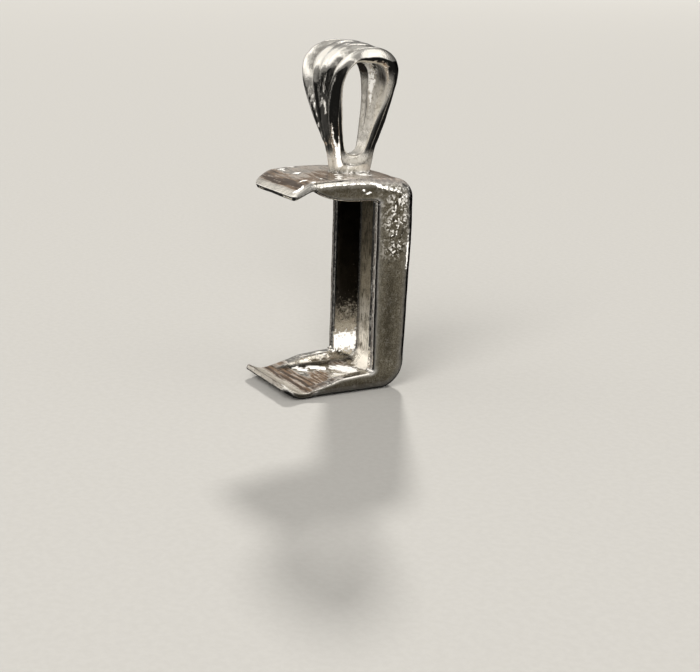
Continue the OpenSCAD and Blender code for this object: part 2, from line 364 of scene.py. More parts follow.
def bailSurface():
    # A fluted section carried round the eye: at each place it spans from the eye's outline to
    # the bail's outer outline, and it widens upwards like a fan. Over the section, the middle rib
    # falls with the fourth power of the distance across and each outer rib is a parabola, and they
    # meet in the grooves. Both faces are given as shares of the way from the eye to the rim.
    b = bail
    eyeLine, rimLine = eyeAndRim()
    across = -np.cos(np.linspace(0, math.pi, b["halfTurn"]))
    across = across * (0.75 + 0.25 * across ** 2)  # points a little closer in the middle
    size = abs(across)
    climb = (rimLine[:, 1] - b["eyeLow"]) / b["eyeHigh"]
    up = np.clip(climb, 0, 1)
    groove = np.where(across < 0, np.interp(climb, *zip(*b["farGroove"]))[:, None],
                      np.interp(climb, *zip(*b["nearGroove"]))[:, None])
    lobes = np.maximum(
        1 + b["middleRise"] - (b["grooveDeep"] + b["middleRise"]) * (size / groove) ** 4,
        1 - b["grooveDeep"] * ((2 * size - 1 - groove) / (1 - groove)) ** 2)
    small = sum(np.exp(-((across - at) / b["smallHalf"]) ** 2) for at in b["smallGrooves"])
    lobes = lobes - b["smallDeep"] * fade(up, *b["smallFade"])[:, None] * small

    ridges = sum(high * np.exp(-((across - at) / half) ** 2) for at, high, half in b["innerRidges"])
    creased = ease(up, *b["creaseFrom"])[:, None]
    bead = ease(across, *b["beadAcross"]) * b["crownBead"]
    beaded = (ease(up, *b["beadFrom"]) * ease(eyeLine[:, 0], *b["beadBack"]))[:, None]
    eyeSide = b["curl"] * size ** 6 - ridges * creased - bead * beaded

    closing = b["edgeDeep"] - 0.5 * bead * beaded
    roundOff = np.sqrt(1 - ((size - 1 + b["edgeRound"]) / b["edgeRound"]).clip(0, 1) ** 2)
    lobes = closing + (lobes - closing) * roundOff
    eyeSide = closing + (eyeSide - closing) * roundOff
    share = np.concatenate([lobes, eyeSide[:, -2:0:-1]], axis=1)
    a = np.concatenate([across, across[-2:0:-1]])
    swell, turn = b["farSwell"]
    swollen = 1 + swell * np.clip(-a, 0, None) * np.sin(math.radians(turn) * up * up)[:, None]
    place = eyeLine[:, None] + (rimLine - eyeLine)[:, None] * (share * swollen)[..., None]
    height = np.maximum(place[..., 1], b["footZ"])
    rise = np.clip((height - b["eyeLow"]) / b["eyeHigh"], 0, 1)
    sink = np.clip((b["eyeLow"] - height) / (b["eyeLow"] - b["footZ"]), 0, None)
    half = bailHalf(rise) + b["solder"] * sink ** 2
    return np.stack([a * half, b["middle"] - place[..., 0], height], -1)


def gridFaces(rows, columns, closedRows):
    # quads of a grid whose columns close on themselves, and its rows too if asked
    i = np.arange(rows if closedRows else rows - 1)[:, None]
    j = np.arange(columns)[None]
    i2, j2 = (i + 1) % rows, (j + 1) % columns
    return np.stack([i * columns + j, i * columns + j2, i2 * columns + j2, i2 * columns + j],
                    -1).reshape(-1, 4)


def meshOf(name, points, faces):
    mesh = bpy.data.meshes.new(name)
    mesh.vertices.add(len(points))
    mesh.vertices.foreach_set("co", np.asarray(points, np.float32).ravel())
    mesh.loops.add(faces.size)
    mesh.loops.foreach_set("vertex_index", faces.astype(np.int32).ravel())
    mesh.polygons.add(len(faces))
    mesh.polygons.foreach_set("loop_start", np.arange(0, faces.size, faces.shape[1], dtype=np.int32))
    mesh.update(calc_edges=True)
    mesh.validate()
    piece = bpy.data.objects.new(name, mesh)
    bpy.context.scene.collection.objects.link(piece)
    return piece


def applied(piece):
    # the piece's mesh as its modifiers leave it
    evaluated = piece.evaluated_get(bpy.context.evaluated_depsgraph_get())
    mesh = bpy.data.meshes.new_from_object(evaluated)
    old = piece.data
    piece.modifiers.clear()
    piece.data = mesh
    bpy.data.meshes.remove(old)
    return piece


def weld(piece, distance):
    join = piece.modifiers.new("weld", "WELD")
    join.merge_threshold = distance
    return applied(piece)


def closedPiece(name, grid, closedRows):
    # [x, u, z] turned to the frame's x, y and z, where y is the channel's middle less u, so the
    # quads are turned over too
    rows, columns = grid.shape[:2]
    points = grid.reshape(-1, 3) * [1, -1, 1] + [0, channel["middle"], 0]
    return weld(meshOf(name, points, gridFaces(rows, columns, closedRows)[:, ::-1]), 1e-5)


def fused(first, second):
    union = first.modifiers.new("union", "BOOLEAN")
    union.operation, union.solver, union.object = "UNION", "EXACT", second
    applied(first)
    bpy.data.objects.remove(second)
    return first


channelPiece = closedPiece("channel", channelSurface(), False)
bailPiece = closedPiece("bail", bailSurface(), True)
print("channel", len(channelPiece.data.vertices), "bail", len(bailPiece.data.vertices))

setting = fused(channelPiece, bailPiece)
print("fused", len(setting.data.vertices))


finish = {
    "seamZ": 13.65,  # about the arm's upper face under the bail
    "seamReach": 0.16,  # how far the solder's soft edge goes from the seam
    "seamSpan": (13.3, 14.3),  # z between which anything is softened
    "seamRounds": 14,
    "waveDepth": 0.05,  # hand polish: waves of many lengths, only ever inwards
    "waveLengths": (0.7, 2.6),
    "waveCount": 60,
    "waveFrom": (0.05, 0.3),  # z: the underside stays flat
    "seed": 7,
    "pushes": [  # x, u, z, radius and push outwards of small dings and the burr on the far rail
        (3.1, 1.42, 8.25, 0.13, -0.07), (-2.62, 2.33, 1.36, 0.1, 0.3),
        (3.1, 0.25, 10.2, 0.16, -0.05), (3.1, 1.2, 12.7, 0.14, -0.05)],
    "crease": 50,  # degrees between faces over which an edge stays sharp
}


def rowsOf(elements, name, width, kind):
    # a value of a mesh's vertices or edges, one row each
    values = np.empty(len(elements) * width, kind)
    elements.foreach_get(name, values)
    return values.reshape(-1, width)


def normalsOf(mesh):
    return rowsOf(mesh.vertices, "normal", 3, np.float32).astype(float)


def movePoints(mesh, points):
    mesh.vertices.foreach_set("co", points.astype(np.float32).ravel())
    mesh.update()


def neighbourMean(values, edges):
    # each vertex's mean of its neighbours' values
    total = np.zeros_like(values)
    count = np.bincount(edges.ravel(), minlength=len(values)).astype(float)
    np.add.at(total, edges[:, 0], values[edges[:, 1]])
    np.add.at(total, edges[:, 1], values[edges[:, 0]])
    return total / (count[:, None] if values.ndim == 2 else count)


def softened(points, edges, weight, rounds):
    # a little of the way to the neighbours' mean, over and over, by each vertex's weight
    for _ in range(rounds):
        points = points + 0.5 * weight[:, None] * (neighbourMean(points, edges) - points)
    return points


def waves(p):
    # plane sine waves in random ways, each as high as it is long, summed and brought to 0...1,
    # whose ends are about three times the sum's usual size either way
    random = np.random.default_rng(finish["seed"])
    ways = random.normal(size=(finish["waveCount"], 3))
    ways /= np.linalg.norm(ways, axis=1, keepdims=True)
    lengths = random.uniform(*finish["waveLengths"], finish["waveCount"])
    shift = random.uniform(0, 2 * math.pi, finish["waveCount"])
    total = (np.sin(p @ (ways * 2 * math.pi / lengths[:, None]).T + shift) * lengths).sum(1)
    return np.clip(0.5 + 0.16 * total / np.sqrt((lengths ** 2).sum() / 2), 0, 1)


def fromFoot(x, u):
    # place across and along the arm from the middle of the bail's foot, in the foot's half-sizes
    return np.stack([x, u - bail["middle"]], -1) / bail["footHalf"]


def finishedMesh(piece):
    # the solder's seam is softened, then every vertex moves along its normal by the waves and pushes
    mesh = piece.data
    points = rowsOf(mesh.vertices, "co", 3, np.float32).astype(float)
    edges = rowsOf(mesh.edges, "vertices", 2, np.int32)
    u, z = channel["middle"] - points[:, 1], points[:, 2]
    ring = np.linalg.norm(fromFoot(points[:, 0], u), axis=1, ord=4) - 1
    away = 0.9 * np.hypot(ring, z - finish["seamZ"])
    low, high = finish["seamSpan"]
    seam = np.where((z > low) & (z < high), np.exp(-(away / finish["seamReach"]) ** 2), 0)
    points = softened(points, edges, seam, finish["seamRounds"])
    movePoints(mesh, points)
    push = -finish["waveDepth"] * waves(points) * ease(points[:, 2], *finish["waveFrom"])
    for x, uAt, zAt, radius, depth in finish["pushes"]:
        away = np.linalg.norm(points - [x, channel["middle"] - uAt, zAt], axis=1)
        push += depth * np.exp(-(away / radius) ** 2)
    points = points + normalsOf(mesh) * push[:, None]
    movePoints(mesh, points)
    return points, normalsOf(mesh), edges


points, normals, edges = finishedMesh(setting)


zones = {  # where each zone's mask fades in or out: a turn is a share of the normal, the rest is mm
    "upperFrom": 12,  # z over which it is the top arm, if it isn't the bail
    "bailFrom": (13.9, 14.1),  # z
    "sideTurn": (0.84, 0.93),
    "farSideTurn": 0.17,  # the far side counts as turned this much further out
    "sideFrom": (2.86, 2.98),  # x
    "sideUntil": (6.4, 7.0),  # u on the top arm
    "underTurn": (0.8, 0.97),
    "underUntil": (0.1, 0.3),  # z
    "backTurn": (0.78, 0.93),
    "backUntil": (0.0, 0.2),  # u
    "backEdge": (132, 26),  # the near back edge, painted dark as a reflection: turn of its middle from -Y by way of +X and half its width, in degrees
    "backEdgeUntil": 0.7,  # u
    "backEdgeHeel": (1.5, 2.5),  # z over which it starts
    "backEdgeShoulder": (12.6, 13.2),  # and ends
    "topTurn": (0.5, 0.75),
    "topFrom": (12.4, 12.7),  # z
    "topEdge": (2.7, 2.95),  # x: left out beside the near edge
    "topEdgeFrom": (4.0, 5.0),  # u: in front of the bail
    "lipFrom": (7.6, 7.85),  # u
    "lipOver": (12.0, 12.3),  # z
    "innerTurn": (0.7, 0.95),
    "innerUntil": 2.6,  # x
    "innerFrom": (0.45, 0.7),  # u
    "frontTurn": (0.85, 0.97),
    "frontFrom": (2.1, 2.25),  # u
    "frontUntil": 2.6,
    "frontBeyond": 2.2,  # x
    "lowTurn": (0.6, 0.9),
    "lowUntil": (1.0, 1.2),  # z
    "backFloorTurn": (0.8, 0.97),
    "backFloorUntil": (0.6, 0.75),  # u
    "lowLipTurn": (0.4, 0.6),
    "lowLipFrom": (7.05, 7.3),  # u
    "lowLipUnder": 1.4,  # z
    "lowLipEdge": (8.24, 0.09),  # u and half-width of the dark line inside the lip's end
    "lowLipEdgeTurn": 0.3,
    "lowLipEdgeUntil": 2.3,  # x
    "eyeMiddle": 18.2,  # z
    "eyeTurn": (0.2, 0.7),  # how far its normals point at the eye's middle
    "eyeFrom": (14.6, 15.0),  # z
    "photoWall": 2.65,  # u behind which the photo shows the eye's wall
    "castFrom": (14.4, 15.4),  # z
    "footTurn": (0.6, 0.8),
    "footFrom": (13.55, 13.7),  # z
    "footUntil": (14.5, 15.2),
}


def hump(value, middle, half):
    return np.exp(-((value - middle) / half) ** 2)


def stripe(value, middle, half):
    # like hump, but level in its middle and steep at its sides
    return np.exp(-((value - middle) / half) ** 4)


def acrossStreaks(x, u):
    # u for streaks that run nearly straight across the arms: a slight slant and a slight wave
    return u + 0.03 * x + 0.05 * np.sin(1.7 * x)


def zonesOf(points, normals):
    # a mask for each zone: 1 where the normal turns its way and the place lies in its range
    f = zones
    x, y, z = points.T
    nx, ny, nz = normals.T
    u = channel["middle"] - y
    lower, upper = fade(z, *f["bailFrom"]), z > f["upperFrom"]
    out = np.where(x > 0, nx, f["farSideTurn"] - nx)
    side = ease(out, *f["sideTurn"]) * ease(abs(x), *f["sideFrom"]) * lower
    facing = np.degrees(np.arctan2(nx, -ny))
    backEdge = stripe(facing, *f["backEdge"]) * (u < f["backEdgeUntil"]) * lower
    top = ease(nz, *f["topTurn"])
    toEye = np.stack([y - (channel["middle"] - bail["middle"]), z - f["eyeMiddle"]], -1)
    toEye /= -np.linalg.norm(toEye, axis=1, keepdims=True)
    eyeWall = ease((normals[:, 1:] * toEye).sum(1), *f["eyeTurn"]) * ease(z, *f["eyeFrom"])
    low = z < f["lowLipUnder"]
    return SimpleNamespace(
        lower=lower,
        upper=upper,
        facing=facing,
        side=side * (1 - ease(u, *f["sideUntil"]) * upper),
        under=ease(-nz, *f["underTurn"]) * fade(z, *f["underUntil"]),
        backFace=ease(ny, *f["backTurn"]) * fade(u, *f["backUntil"]) * lower,
        backEdge=backEdge * ease(z, *f["backEdgeHeel"]) * fade(z, *f["backEdgeShoulder"]),
        lipFace=ease(u, *f["lipFrom"]) * ease(z, *f["lipOver"]) * top * lower,
        inner=(ease(abs(nx), *f["innerTurn"]) * (abs(x) < f["innerUntil"]) * ease(u, *f["innerFrom"])
               * lower),
        topFace=(top * ease(z, *f["topFrom"]) * lower
                 * (1 - ease(x, *f["topEdge"]) * ease(u, *f["topEdgeFrom"]))),
        railFront=(ease(-ny, *f["frontTurn"]) * (abs(x) > f["frontBeyond"]) * ease(u, *f["frontFrom"])
                   * (u < f["frontUntil"]) * lower),
        lowFloor=ease(nz, *f["lowTurn"]) * fade(z, *f["lowUntil"]),
        backFloor=ease(-ny, *f["backFloorTurn"]) * fade(u, *f["backFloorUntil"]) * lower,
        lowLip=ease(nz, *f["lowLipTurn"]) * low * ease(acrossStreaks(x, u), *f["lowLipFrom"]),
        lowLipEdge=(stripe(u, *f["lowLipEdge"]) * low * (nz > f["lowLipEdgeTurn"])
                    * (x < f["lowLipEdgeUntil"])),
        eyeWall=eyeWall,
        photoWall=eyeWall * (u < f["photoWall"]),
        cast=ease(z, *f["castFrom"]) * (1 - eyeWall),
        foot=ease(z, *f["footFrom"]) * fade(z, *f["footUntil"]) * fade(nz, *f["footTurn"]))


wearAndPaintedLight = {  # stains, worn places, painted highlights and painted shade; places in mm: x across, u forward, z up
    "bendStreak": (7.42, 0.24),  # dark streak in the bend of the top lip: u and half-width
    "fineStreak": (7.0, 0.08),
    "topBrown": [(1.6, 5.3, 1.1), (0.3, 4.8, 0.9), (2.2, 6.1, 0.9)],  # x, u, radius
    "topBrownFrom": (0.0, 0.25),  # from the bail's foot outwards, in shares of the foot
    "topBrownUntil": (7.6, 7.9),  # u
    "bendBrown": (7.4, 0.5),  # more in the bend of the lip: u and half-width
    "behindBrown": (1.8, 2.6),  # and behind the bail: fades out between these u
    # painted glints on the top arm's face: x, u, radius
    "topGlints": [(-0.55, 6.15, 0.26), (1.75, 6.85, 0.17), (-1.8, 6.5, 0.13), (-2.35, 6.35, 0.24),
                  (-2.75, 5.5, 0.2), (2.45, 4.85, 0.2), (2.7, 6.75, 0.2), (0.3, 5.1, 0.1), (2.0, 5.8, 0.12),
                  (1.0, 4.15, 0.25), (1.6, 4.3, 0.22), (2.1, 4.55, 0.2), (1.3, 2.4, 0.45), (2.75, 7.6, 0.4)],
    "lowBand": ((5.4, 5.85), (6.95, 7.3)),  # the bottom arm's floor turns brown and bright again over u
    "lowStreaks": [(5.85, 0.08), (6.4, 0.13), (6.95, 0.16)],  # u and half-width
    # painted glints and reflections on the bottom arm's floor: x, u, radius
    "lowGlints": [(2.4, 8.15, 0.22), (1.95, 7.98, 0.2), (1.5, 7.85, 0.12), (0.0, 2.2, 0.55),
                  (-0.6, 2.3, 0.65), (-1.0, 2.8, 0.55), (0.3, 3.4, 0.22), (-1.3, 3.8, 0.42),
                  (-1.75, 4.2, 0.42), (-1.35, 5.0, 0.35), (-1.95, 5.2, 0.38), (2.5, 3.7, 0.5)],
    "lowCloud": [(-0.2, 4.4, 0.85), (0.6, 4.9, 0.7), (1.5, 5.2, 0.8), (2.6, 4.6, 0.7), (-1.9, 2.2, 0.6)],
    "lowDark": (5.7, 0.9),  # u and half-width of a darker place beside the near rail
    "lowDarkFrom": (1.5, 2.2),  # x
    "lipTipBrown": (8.1, 8.3),  # u over which the bottom lip's end turns brown
    "lipTipUnder": 1.6,  # z
    "edgeBrown": (2.8, 0.12),  # x and half-width of a brown line beside the top arm's near edge
    "edgeBrownUntil": (6.0, 6.6),  # u
    "innerHighlight": {  # painted highlight, a white streak inside the bail: width share at a level, and how much less per mm up
        "at": 0.06, "level": 18.5, "lean": 0.05, "from": (17.0, 17.6),
        "half": 0.03, "growth": 0.14, "growing": (17.2, 20.2)},
    "innerShadeLine": (-0.15, 0.04),  # painted shade, a dark line beside it: width share and half-width
    "innerShadeLineFrom": (16, 17),  # z
    "innerBrushed": (19.0, 20.2),  # z over which the wall inside the bail turns from dull to polished
    "innerShadeBands": [(0.58, 0.26, 18.9), (-0.55, 0.3, 19.3)],  # painted shade inside the bail: width share, half-width and z from which
    "cornerHighlight": {  # painted highlight, a white streak on the bail's front corner: it faces 45 degrees at a level
        "level": 17.7, "turn": 10, "top": (16.3, 17.2), "foot": (13.7, 14.2), "beyond": 0.6,
        "half": 3, "growFrom": 16.9, "growth": 2.6},  # half-width in degrees, and more per mm down
    "oxideFrom": (1.6, 6.2),  # z over which the rails' inner sides turn black: tarnish, deepened upwards as painted shade
    "oxideUntil": (12.2, 12.6),
    "frontLine": (2.8, 0.15),  # dark line down the rails' front: x and half-width
    "edgeLine": (0.62, 0.14),  # painted dark reflection, a line behind the bail's near side: normal's z and half-width
    "edgeLineBeyond": 2.5,  # x
    "edgeLineUntil": (2.0, 3.2),  # u
    "rawFrom": (0.9, 1.6),  # z over which the back's floor turns to raw metal
    "paleUntil": (3.0, 6.0),  # pale below as painted light, and shaded above
    "rawShade": (6, 9),
    "lipPale": (-2.8, -0.6),  # x over which the top lip's face turns pale towards the near side
    "lipShade": (-2.8, 0),
    "sideBand": (1.3, 0.4),  # painted dark reflection, a band up the middle of the side face: u and half-width
    "sideBandSpan": ((1.5, 3), (6.5, 9)),  # z
    "sideTop": (13.0, 0.35),  # painted shade under the bail: z and half-height
    "sideTopFrom": (1.5, 2.5),  # u
    "sideFoot": (0.2, 1.3),  # z under which the side has painted shade
    "sidePits": (0.95, 0.8),  # the crumpled patch on the near side: u and half-width
    "sidePitsFrom": (8.2, 9.4),
    "fluteGlintBands": [(-0.5, 0.1, 1), (0.2, 0.06, 0.7)],  # painted highlights in the front grooves: share, half, strength
    "fluteGlintsAt": (16.6, 2.3),  # z and half-height
    "weldLight": (13.68, 0.12),  # painted highlight round the bail's foot: z and half-height
    "weldUntil": (0.1, 0.3),  # from the foot outwards, in shares of the foot
    "bailHollows": 14.2,  # z over which hollows are twice as dark
    "glints": [  # painted highlights: two ends in x, u, z, and half-width of white streaks on the near side
        ((3.1, 3.5, 13.03), (3.1, 3.36, 13.0), 0.07), ((3.1, 3.2, 12.8), (3.1, 2.85, 12.86), 0.09),
        ((3.05, 2.6, 13.3), (3.1, 0.8, 12.8), 0.13), ((3.1, 0.8, 12.8), (3.1, 0.3, 12.42), 0.12),
        ((3.0, 0.15, 12.95), (3.0, -0.2, 12.45), 0.16)],
    "nearHighlight": (62, 10),  # painted highlight, a white line along the top arm's near edge: turn from upright to +X, half-width
    "nearHighlightBeyond": 2.4,  # x
    "nearHighlightSpan": ((2.2, 2.7), (6.5, 7.0)),  # u
    "backHighlight": (8.85, 1.15),  # painted highlight, a white stretch of the near back edge: z and half-height
    "backHighlightTurn": (102, 8),  # degrees from -Y to +X, and half-width
    "backHighlightUntil": 0.6,  # u
    "railLitPatch": (1.85, 0.75),  # painted light, a white patch low on the far rail's inner side: z and half-height
    "innerCorner": (2.22, 0.13),  # darker where the rails meet the floor: x and half-width
    "innerCornerDeep": (0.56, 0.14),  # how far in from the outer face, and half-width
    "innerCornerUntil": (6.5, 12.6),  # u and z
}


def blots(x, u, spots):
    # soft spots bent out of round, each 1 in its middle
    x, u = x + 0.1 * np.sin(11 * u + 4 * x), u + 0.1 * np.sin(13 * x - 5 * u)
    return np.clip(sum(np.exp(-(((x - at) ** 2 + (u - ahead) ** 2) / radius ** 2) ** 2)
                       for at, ahead, radius in spots), 0, 1)


def fromSegment(points, start, end):
    # each point's distance from the line between two places
    along = end - start
    share = np.clip((points - start) @ along / (along @ along), 0, 1)
    return np.linalg.norm(points - start - share[:, None] * along, axis=1)


def hollowness(points, normals, edges):
    # how far the neighbours' mean stands out along the normal, over the square of the edges' mean
    # length, evened out three times: above 0 in a hollow and below 0 on an edge
    bend = neighbourMean(points, edges) - points
    size = np.linalg.norm(points[edges[:, 0]] - points[edges[:, 1]], axis=1)
    mean = sum(np.bincount(edges[:, k], size, len(points)) for k in (0, 1))
    mean = mean / np.bincount(edges.ravel(), minlength=len(points))
    hollow = (bend * normals).sum(1) / mean ** 2
    for _ in range(3):
        hollow = neighbourMean(hollow, edges)
    return hollow


def armStainsAndGlints(x, u, ring, on):
    # brown, dark lines and painted glints as white dots on the two arms' upper faces
    w = wearAndPaintedLight
    lean = acrossStreaks(x, u)
    glintSpecks = on.topFace * blots(x, u, w["topGlints"]) + on.lowFloor * blots(x, u, w["lowGlints"])
    topBrown = on.topFace * ease(ring, *w["topBrownFrom"]) * fade(u, *w["topBrownUntil"]) * (
        0.6 + 0.5 * blots(x, u, w["topBrown"]) + 0.5 * hump(u, *w["bendBrown"])
        + 0.35 * fade(u, *w["behindBrown"]))
    start, end = w["lowBand"]
    band = ease(lean, *start) * fade(lean, *end)
    lowBrown = on.lowFloor * (band + 0.8 * blots(x, u, w["lowCloud"]) + 0.1)
    topLine = on.topFace * (stripe(lean, *w["bendStreak"]) + 0.6 * stripe(lean, *w["fineStreak"])
                            + 0.5 * stripe(x, *w["edgeBrown"]) * fade(u, *w["edgeBrownUntil"]))
    streaks = sum(stripe(lean, at, half) for at, half in w["lowStreaks"])
    lowLine = on.lowFloor * (
        0.85 * streaks * band + 0.7 * stripe(u, *w["lowDark"]) * ease(x, *w["lowDarkFrom"]))
    return topBrown + lowBrown, topLine + lowLine, glintSpecks


def bailPaintedLight(x, u, z, on):
    # painted highlights and painted shade, as streaks inside the bail and on its front, placed by shares of
    # its half-width
    w = wearAndPaintedLight
    across = x / bailHalf(np.clip((z - bail["eyeLow"]) / bail["eyeHigh"], 0, 1))
    s = w["innerHighlight"]
    at, half = s["at"] - s["lean"] * (z - s["level"]), s["half"] + s["growth"] * ease(z, *s["growing"])
    shine = 0.8 * on.photoWall * hump(across, at, half) * ease(z, *s["from"])
    s = w["cornerHighlight"]
    half = s["half"] + s["growth"] * np.clip(s["growFrom"] - z, 0, None)
    corner = (0.9 * hump(on.facing, 45 + s["turn"] * (s["level"] - z), half) * ease(z, *s["foot"])
              * fade(z, *s["top"]) * (across > s["beyond"]) * (u > bail["middle"]))
    innerShade = sum(stripe(across, at, half) * ease(z, start, start + 0.9) for at, half, start in w["innerShadeBands"])
    line = stripe(across, *w["innerShadeLine"]) * ease(z, *w["innerShadeLineFrom"])
    fluteGlints = sum(power * hump(across, at, half) for at, half, power in w["fluteGlintBands"])
    fluteGlints = on.cast * (on.facing < 60) * fluteGlints * stripe(z, *w["fluteGlintsAt"])
    return shine + corner, on.photoWall * innerShade, on.photoWall * line, fluteGlints


def surfaceMaps(points, normals, edges):
    # for each finish a value from 0 to 1 at every vertex, made of the zones' masks, the stains and worn
    # places, and the painted light and shade
    w = wearAndPaintedLight
    x, y, z = points.T
    nx, nz = normals[:, 0], normals[:, 2]
    u = channel["middle"] - y
    on = zonesOf(points, normals)
    ring = np.linalg.norm(fromFoot(x, u), axis=1) - 1
    brown, line, glintSpecks = armStainsAndGlints(x, u, ring, on)
    bailLight, innerShade, innerShadeLine, fluteGlints = bailPaintedLight(x, u, z, on)
    hollow = hollowness(points, normals, edges)
    uEnd, zEnd = w["innerCornerUntil"]
    corner = (hump(abs(x), *w["innerCorner"]) * hump(np.minimum(u, z), *w["innerCornerDeep"])
              * (u < uEnd) * (z < zEnd))
    backShine = (stripe(on.facing, *w["backHighlightTurn"]) * stripe(z, *w["backHighlight"])
            * (u < w["backHighlightUntil"]))
    places = np.stack([x, u, z], -1)
    glints = sum(stripe(fromSegment(places, np.array(start), np.array(end)), 0, half)
                 for start, end, half in w["glints"])
    start, end = w["nearHighlightSpan"]
    nearHighlight = (stripe(np.degrees(np.arctan2(nx, nz)), *w["nearHighlight"]) * (x > w["nearHighlightBeyond"])
                * on.lower * on.upper * ease(u, *start) * fade(u, *end))
    edgeLine = (hump(nz, *w["edgeLine"]) * (x > w["edgeLineBeyond"]) * on.upper
                * fade(u, *w["edgeLineUntil"]) * on.lower)
    start, end = w["sideBandSpan"]
    sideBand = hump(u, *w["sideBand"]) * fade(z, *end) * ease(z, *start)
    sideTop = hump(z, *w["sideTop"]) * ease(u, *w["sideTopFrom"])
    lipTip = ease(u, *w["lipTipBrown"]) * (z < w["lipTipUnder"])
    weldLight = hump(z, *w["weldLight"]) * fade(ring, *w["weldUntil"])
    lowLip = on.lowLip * (1 - on.lowLipEdge)
    found = {
        "cast": on.cast,
        "satin": on.side * (1 - on.backEdge) + 0.9 * on.under + 0.7 * on.backFace,
        "brushed": on.eyeWall * fade(z, *w["innerBrushed"]) + on.foot + 0.6 * on.lipFace,
        # painted highlights: a lit patch on the far rail, a bright line round the foot, white streaks in the
        # bail, on the back edge and along the near edges
        "paintedHighlight": (on.inner * (x < 0) * hump(z, *w["railLitPatch"]) + 0.45 * weldLight + bailLight + backShine
                  + 0.6 * np.clip(glints, 0, 1) + 0.7 * nearHighlight),
        "brown": (brown + 0.3 * lipTip) * (1 - glintSpecks),
        # dark lines: marks, painted shade inside the bail and a painted dark reflection beside the near edge
        "line": (line + 0.8 * innerShadeLine + 1.8 * innerShade + on.railFront * stripe(abs(x), *w["frontLine"])
                 + 0.6 * edgeLine + 2 * on.lowLipEdge),
        # tarnish on the rails' inner sides, deepened upwards as painted shade, and a painted dark reflection
        # on the near back edge
        "oxideAndShade": (on.inner * ease(z, *w["oxideFrom"]) * fade(z, *w["oxideUntil"])
                  + 0.85 * on.backEdge * (1 - backShine)),
        "raw": on.backFloor * ease(z, *w["rawFrom"]) + 0.8 * lowLip,
        # pale low on the back's floor is painted light; on the lips pale is the finish
        "pale": (on.backFloor * fade(z, *w["paleUntil"]) + 0.7 * lowLip
                 + on.lipFace * (0.45 + 0.55 * ease(x, *w["lipPale"]))),
        # painted shade on the side face and high on the back's floor; the lip face darker towards its far
        # end
        "shade": (on.side * (0.7 * sideBand + 0.5 * sideTop + fade(z, *w["sideFoot"]))
                  + on.lipFace * (0.5 - 0.3 * ease(x, *w["lipShade"]))
                  + 0.45 * on.backFloor * ease(z, *w["rawShade"])),
        # tarnish in hollows, darker where the rails meet the floor, and painted shade inside the bail
        "hollow": hollow * np.where(z > w["bailHollows"], 0.7, 0.35) + corner + innerShade,
        # convex edges whitened: worn metal with painted highlight
        "edge": np.clip(-hollow * 0.25, 0, 1) * (1 - on.backEdge) * (1 - on.lowLipEdge),
        # painted glints on the arms
        "speck": glintSpecks,
        "pitted": on.side * ((x > 0) * hump(u, *w["sidePits"]) * ease(z, *w["sidePitsFrom"]) + 0.07),
        # painted highlights in the front grooves
        "fluteHighlight": fluteGlints,
    }
    return {name: np.clip(values, 0, 1) for name, values in found.items()}


maps = surfaceMaps(points, normals, edges)


def madePiece(piece, name, points, maps):
    # the mesh in metres, smooth but for its creases, with one attribute for each map
    mesh = piece.data
    movePoints(mesh, points / 1000)
    for key, values in maps.items():
        layer = mesh.attributes.new(key, "FLOAT", "POINT")
        layer.data.foreach_set("value", values.astype(np.float32))
    mesh.shade_smooth()
    mesh.set_sharp_from_angle(angle=math.radians(finish["crease"]))
    piece.name = mesh.name = name


madePiece(setting, "Setting", points, maps)
print("setting", len(points), "points")


class Wire:
    # a socket in a node tree: + - and * on it add Math nodes
    def __init__(self, tree, socket=None):
        self.tree, self.socket = tree, socket

    def node(self, kind, settings={}, inputs={}, out=0):
        # any node: its settings first, then the values or wires of its sockets
        made = self.tree.nodes.new(kind)
        for name, value in settings.items():
            setattr(made, name, value)
        for key, value in inputs.items():
            if isinstance(value, Wire):
                value.into(made.inputs[key])
            else:
                made.inputs[key].default_value = value
        return Wire(self.tree, made.outputs[out])

    def into(self, socket):
        self.tree.links.new(self.socket, socket)

    def maths(self, operation, *values, clamp=False):
        return self.node("ShaderNodeMath", {"operation": operation, "use_clamp": clamp},
                         dict(enumerate(values)))

    def __add__(self, other):
        return self.maths("ADD", self, other)

    def __radd__(self, other):
        return self.maths("ADD", other, self)

    def __sub__(self, other):
        return self.maths("SUBTRACT", self, other)

    def __rsub__(self, other):
        return self.maths("SUBTRACT", other, self)

    def __mul__(self, other):
        return self.maths("MULTIPLY", self, other)

    def __rmul__(self, other):
        return self.maths("MULTIPLY", other, self)

    def clamped(self):
        return self.maths("ADD", self, 0.0, clamp=True)

    def step(self, low, high):  # smooth rise from 0 at low to 1 at high
        return self.node("ShaderNodeMapRange", {"interpolation_type": "SMOOTHSTEP"},
                         {"Value": self, "From Min": low, "From Max": high})

    def attribute(self, name):
        return self.node("ShaderNodeAttribute", {"attribute_name": name}, out="Fac")

    def noise(self, where, scale, detail, rough):
        return self.node("ShaderNodeTexNoise", {}, {
            "Vector": where, "Scale": scale, "Detail": detail, "Roughness": rough}, out="Fac")

    def stretched(self, where, by):
        return self.node("ShaderNodeVectorMath", {"operation": "MULTIPLY"}, {0: where, 1: by})

    def blend(self, share, first, second):  # colours, through a Mix node
        return self.node("ShaderNodeMix", {"data_type": "RGBA"}, {0: share, 6: first, 7: second}, out=2)


def newMaterial(name):
    material = bpy.data.materials.new(name)
    material.use_nodes = True
    tree = material.node_tree
    return material, Wire(tree), tree.nodes["Principled BSDF"]


